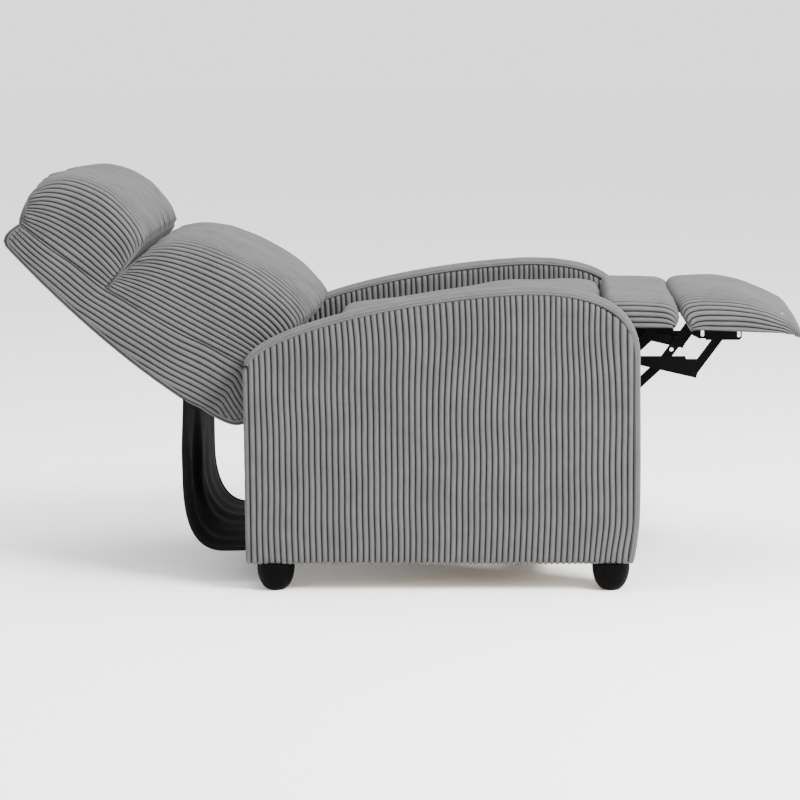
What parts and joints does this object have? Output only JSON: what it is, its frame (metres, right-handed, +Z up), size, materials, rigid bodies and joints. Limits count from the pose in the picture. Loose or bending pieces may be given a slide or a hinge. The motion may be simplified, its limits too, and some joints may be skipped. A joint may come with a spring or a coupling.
{
  "type": "recliner armchair",
  "caption": "Push-back recliner armchair in ribbed corduroy, shown fully reclined: padded arms, head pillow, lumbar cushion, folding footrest and black feet.",
  "frame": {"origin": "on the floor at the centre of the four feet, which is the centre of the glide screw holes", "axes": "+X to the front of the chair, +Y to the sitter's left, +Z up; stored fully reclined with the footrest out"},
  "size_m": [1.6098, 0.68, 0.8417],
  "materials": {
    "corduroy": "matte",
    "dust_cloth": "matte",
    "black_steel": "satin",
    "zinc_steel": "satin",
    "foot_plastic": "satin",
    "frame_timber": "matte"
  },
  "bodies": {
    "base": {"arm_frame_left": "frame_timber", "arm_frame_right": "frame_timber", "arm_outer_panel_left": "corduroy", "arm_outer_panel_right": "corduroy", "arm_inner_panel_left": "corduroy", "arm_inner_panel_right": "corduroy", "arm_top_band_left": "corduroy", "arm_top_band_right": "corduroy", "foot_front_left": "foot_plastic", "foot_front_right": "foot_plastic", "foot_rear_left": "foot_plastic", "foot_rear_right": "foot_plastic", "foot_bolts": "zinc_steel", "base_side_plate_left": "black_steel", "base_side_plate_right": "black_steel", "base_rivets": "black_steel", "front_cross_rail": "frame_timber", "rear_cross_rail": "frame_timber", "mounting_boards": "frame_timber", "rear_dust_cloth": "dust_cloth"},
    "backrest": {"back_side_rails": "frame_timber", "back_cross_rails": "frame_timber", "back_springs": "zinc_steel", "back_shell": "corduroy", "back_hinge_brackets": "black_steel", "lumbar_cushion": "corduroy", "head_pillow": "corduroy"},
    "front_lift": {"front_lift_links": "black_steel"},
    "rear_lift": {"rear_lift_links": "black_steel"},
    "seat": {"seat_side_plate_left": "black_steel", "seat_side_plate_right": "black_steel", "seat_side_rails": "frame_timber", "seat_cross_rails": "frame_timber", "seat_cross_tubes": "black_steel", "seat_springs": "zinc_steel", "seat_cushion": "corduroy", "seat_rivets": "black_steel", "seat_hinge_brackets": "black_steel"},
    "flap": {"flap_board": "frame_timber", "flap_pad": "corduroy", "flap_hinge_arms": "black_steel"},
    "swing_links": {"swing_link_left": "black_steel", "swing_link_right": "black_steel"},
    "carriers": {"carrier_left": "black_steel", "carrier_right": "black_steel", "carrier_rivets": "black_steel"},
    "long_links": {"long_link_left": "black_steel", "long_link_right": "black_steel"},
    "short_links": {"short_link_left": "black_steel", "short_link_right": "black_steel"},
    "tie_links": {"tie_link_left": "black_steel", "tie_link_right": "black_steel", "tie_rivets": "black_steel"},
    "outer_links": {"outer_link_left": "black_steel", "outer_link_right": "black_steel"},
    "footrest": {"footrest_bracket_left": "black_steel", "footrest_bracket_right": "black_steel", "footrest_board": "frame_timber", "footrest_pad": "corduroy", "footrest_rivets": "black_steel"}
  },
  "joints": [
    {"name": "backrest_hinge", "type": "hinge", "parent": "base", "child": "backrest", "pos_m": [-0.3, 0, 0.33], "axis": [0, 1, 0], "range_deg": [0, 40], "deforming": ["rear_dust_cloth"]},
    {"name": "front_lift_hinge", "type": "hinge", "parent": "base", "child": "front_lift", "pos_m": [0.23, 0, 0.39], "axis": [0, 1, 0], "range_deg": [-32, 0]},
    {"name": "rear_lift_hinge", "type": "hinge", "parent": "base", "child": "rear_lift", "pos_m": [-0.04, 0, 0.39], "axis": [0, 1, 0], "range_deg": [-32, 0]},
    {"name": "seat_hinge", "type": "hinge", "parent": "front_lift", "child": "seat", "pos_m": [0.11465, 0, 0.42308], "axis": [0, 1, 0], "range_deg": [0, 32]},
    {"name": "flap_hinge", "type": "hinge", "parent": "seat", "child": "flap", "pos_m": [0.325, 0, 0.527], "axis": [0, 1, 0], "range_deg": [0, 90]},
    {"name": "swing_link_hinge", "type": "hinge", "parent": "seat", "child": "swing_links", "pos_m": [0.3064, 0, 0.419], "axis": [0, 1, 0], "range_deg": [-47, 0]},
    {"name": "carrier_hinge", "type": "hinge", "parent": "swing_links", "child": "carriers", "pos_m": [0.37995, 0, 0.46603], "axis": [0, 1, 0], "range_deg": [0, 137]},
    {"name": "long_link_hinge", "type": "hinge", "parent": "carriers", "child": "long_links", "pos_m": [0.44215, 0, 0.45099], "axis": [0, 1, 0], "range_deg": [0, 46]},
    {"name": "short_link_hinge", "type": "hinge", "parent": "carriers", "child": "short_links", "pos_m": [0.37995, 0, 0.46603], "axis": [0, 1, 0], "range_deg": [0, 46]},
    {"name": "tie_link_hinge", "type": "hinge", "parent": "short_links", "child": "tie_links", "pos_m": [0.41191, 0, 0.50955], "axis": [0, 1, 0], "range_deg": [-46, 0]},
    {"name": "outer_link_hinge", "type": "hinge", "parent": "carriers", "child": "outer_links", "pos_m": [0.50824, 0, 0.435], "axis": [0, 1, 0], "range_deg": [0, 46]},
    {"name": "footrest_hinge", "type": "hinge", "parent": "long_links", "child": "footrest", "pos_m": [0.49721, 0, 0.52594], "axis": [0, 1, 0], "range_deg": [-46, 0]}
  ],
  "couplings": [
    {"joint": "front_lift_hinge", "follows": "backrest_hinge", "ratio": -0.8},
    {"joint": "rear_lift_hinge", "follows": "backrest_hinge", "ratio": -0.8},
    {"joint": "seat_hinge", "follows": "backrest_hinge", "ratio": 0.8},
    {"joint": "flap_hinge", "follows": "backrest_hinge", "ratio": 2.25},
    {"joint": "swing_link_hinge", "follows": "backrest_hinge", "ratio": -1.175},
    {"joint": "carrier_hinge", "follows": "backrest_hinge", "ratio": 3.425},
    {"joint": "long_link_hinge", "follows": "backrest_hinge", "ratio": 1.15},
    {"joint": "short_link_hinge", "follows": "backrest_hinge", "ratio": 1.15},
    {"joint": "tie_link_hinge", "follows": "backrest_hinge", "ratio": -1.15},
    {"joint": "outer_link_hinge", "follows": "backrest_hinge", "ratio": 1.15},
    {"joint": "footrest_hinge", "follows": "backrest_hinge", "ratio": -1.15}
  ]
}
